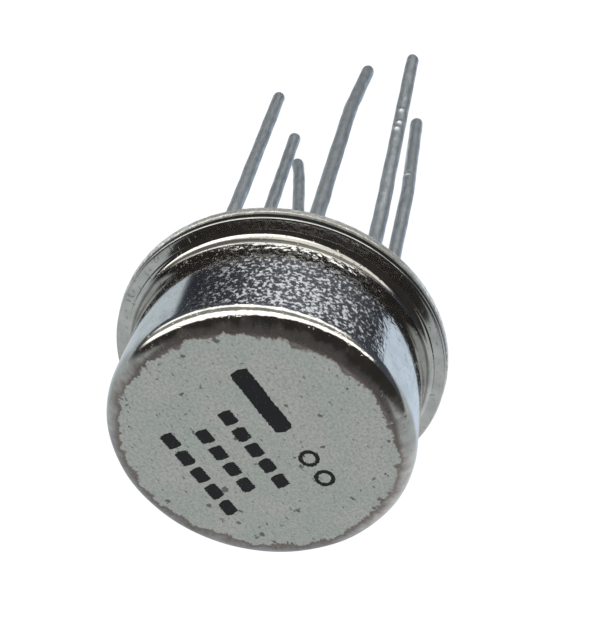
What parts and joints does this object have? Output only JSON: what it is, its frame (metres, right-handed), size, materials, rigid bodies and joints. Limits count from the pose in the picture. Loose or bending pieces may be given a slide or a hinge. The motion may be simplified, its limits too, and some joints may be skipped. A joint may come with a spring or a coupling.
{
  "type": "optocoupler",
  "caption": "Round metal-can optocoupler: welded nickel cap on a glass-sealed header with an index tab and six long leads, emitter facing a phototransistor inside.",
  "frame": {"origin": "centre of the seating plane, the underside of the header's flange", "axes": "+Z from the seating plane to the crown of the cap, leads run down -Z, +X points to the index tab"},
  "size_m": [0.0101, 0.0092, 0.02],
  "materials": {
    "nickel_plate": "satin nickel plate",
    "header_plate": "satin nickel plate",
    "sealing_glass": "dark sealing glass",
    "solder_coat": "dull hot-dipped solder",
    "gold": "matte gold",
    "silicon": "polished silicon",
    "pad_metal": "aluminium pads",
    "ceramic": "white alumina",
    "solder_joint": "bright solder",
    "silver_adhesive": "silver-filled adhesive",
    "emitter_crystal": "dark crystal",
    "clear_silicone": "clear soft silicone"
  },
  "bodies": {
    "root": {"cap": "nickel_plate", "header": "header_plate", "glass_seal": "sealing_glass", "lead_1": "solder_coat", "lead_2": "solder_coat", "lead_3": "solder_coat", "lead_5": "solder_coat", "lead_6": "solder_coat", "lead_7": "solder_coat", "detector_attach": "gold", "detector_die": "silicon", "detector_metal": "pad_metal", "emitter_carrier": "ceramic", "anode_track": "gold", "cathode_track": "gold", "carrier_solder": "solder_joint", "emitter_attach": "silver_adhesive", "emitter_die": "emitter_crystal", "light_coupling": "clear_silicone", "wire_collector": "gold", "wire_base": "gold", "wire_emitter": "gold", "wire_anode": "gold"}
  },
  "joints": []
}
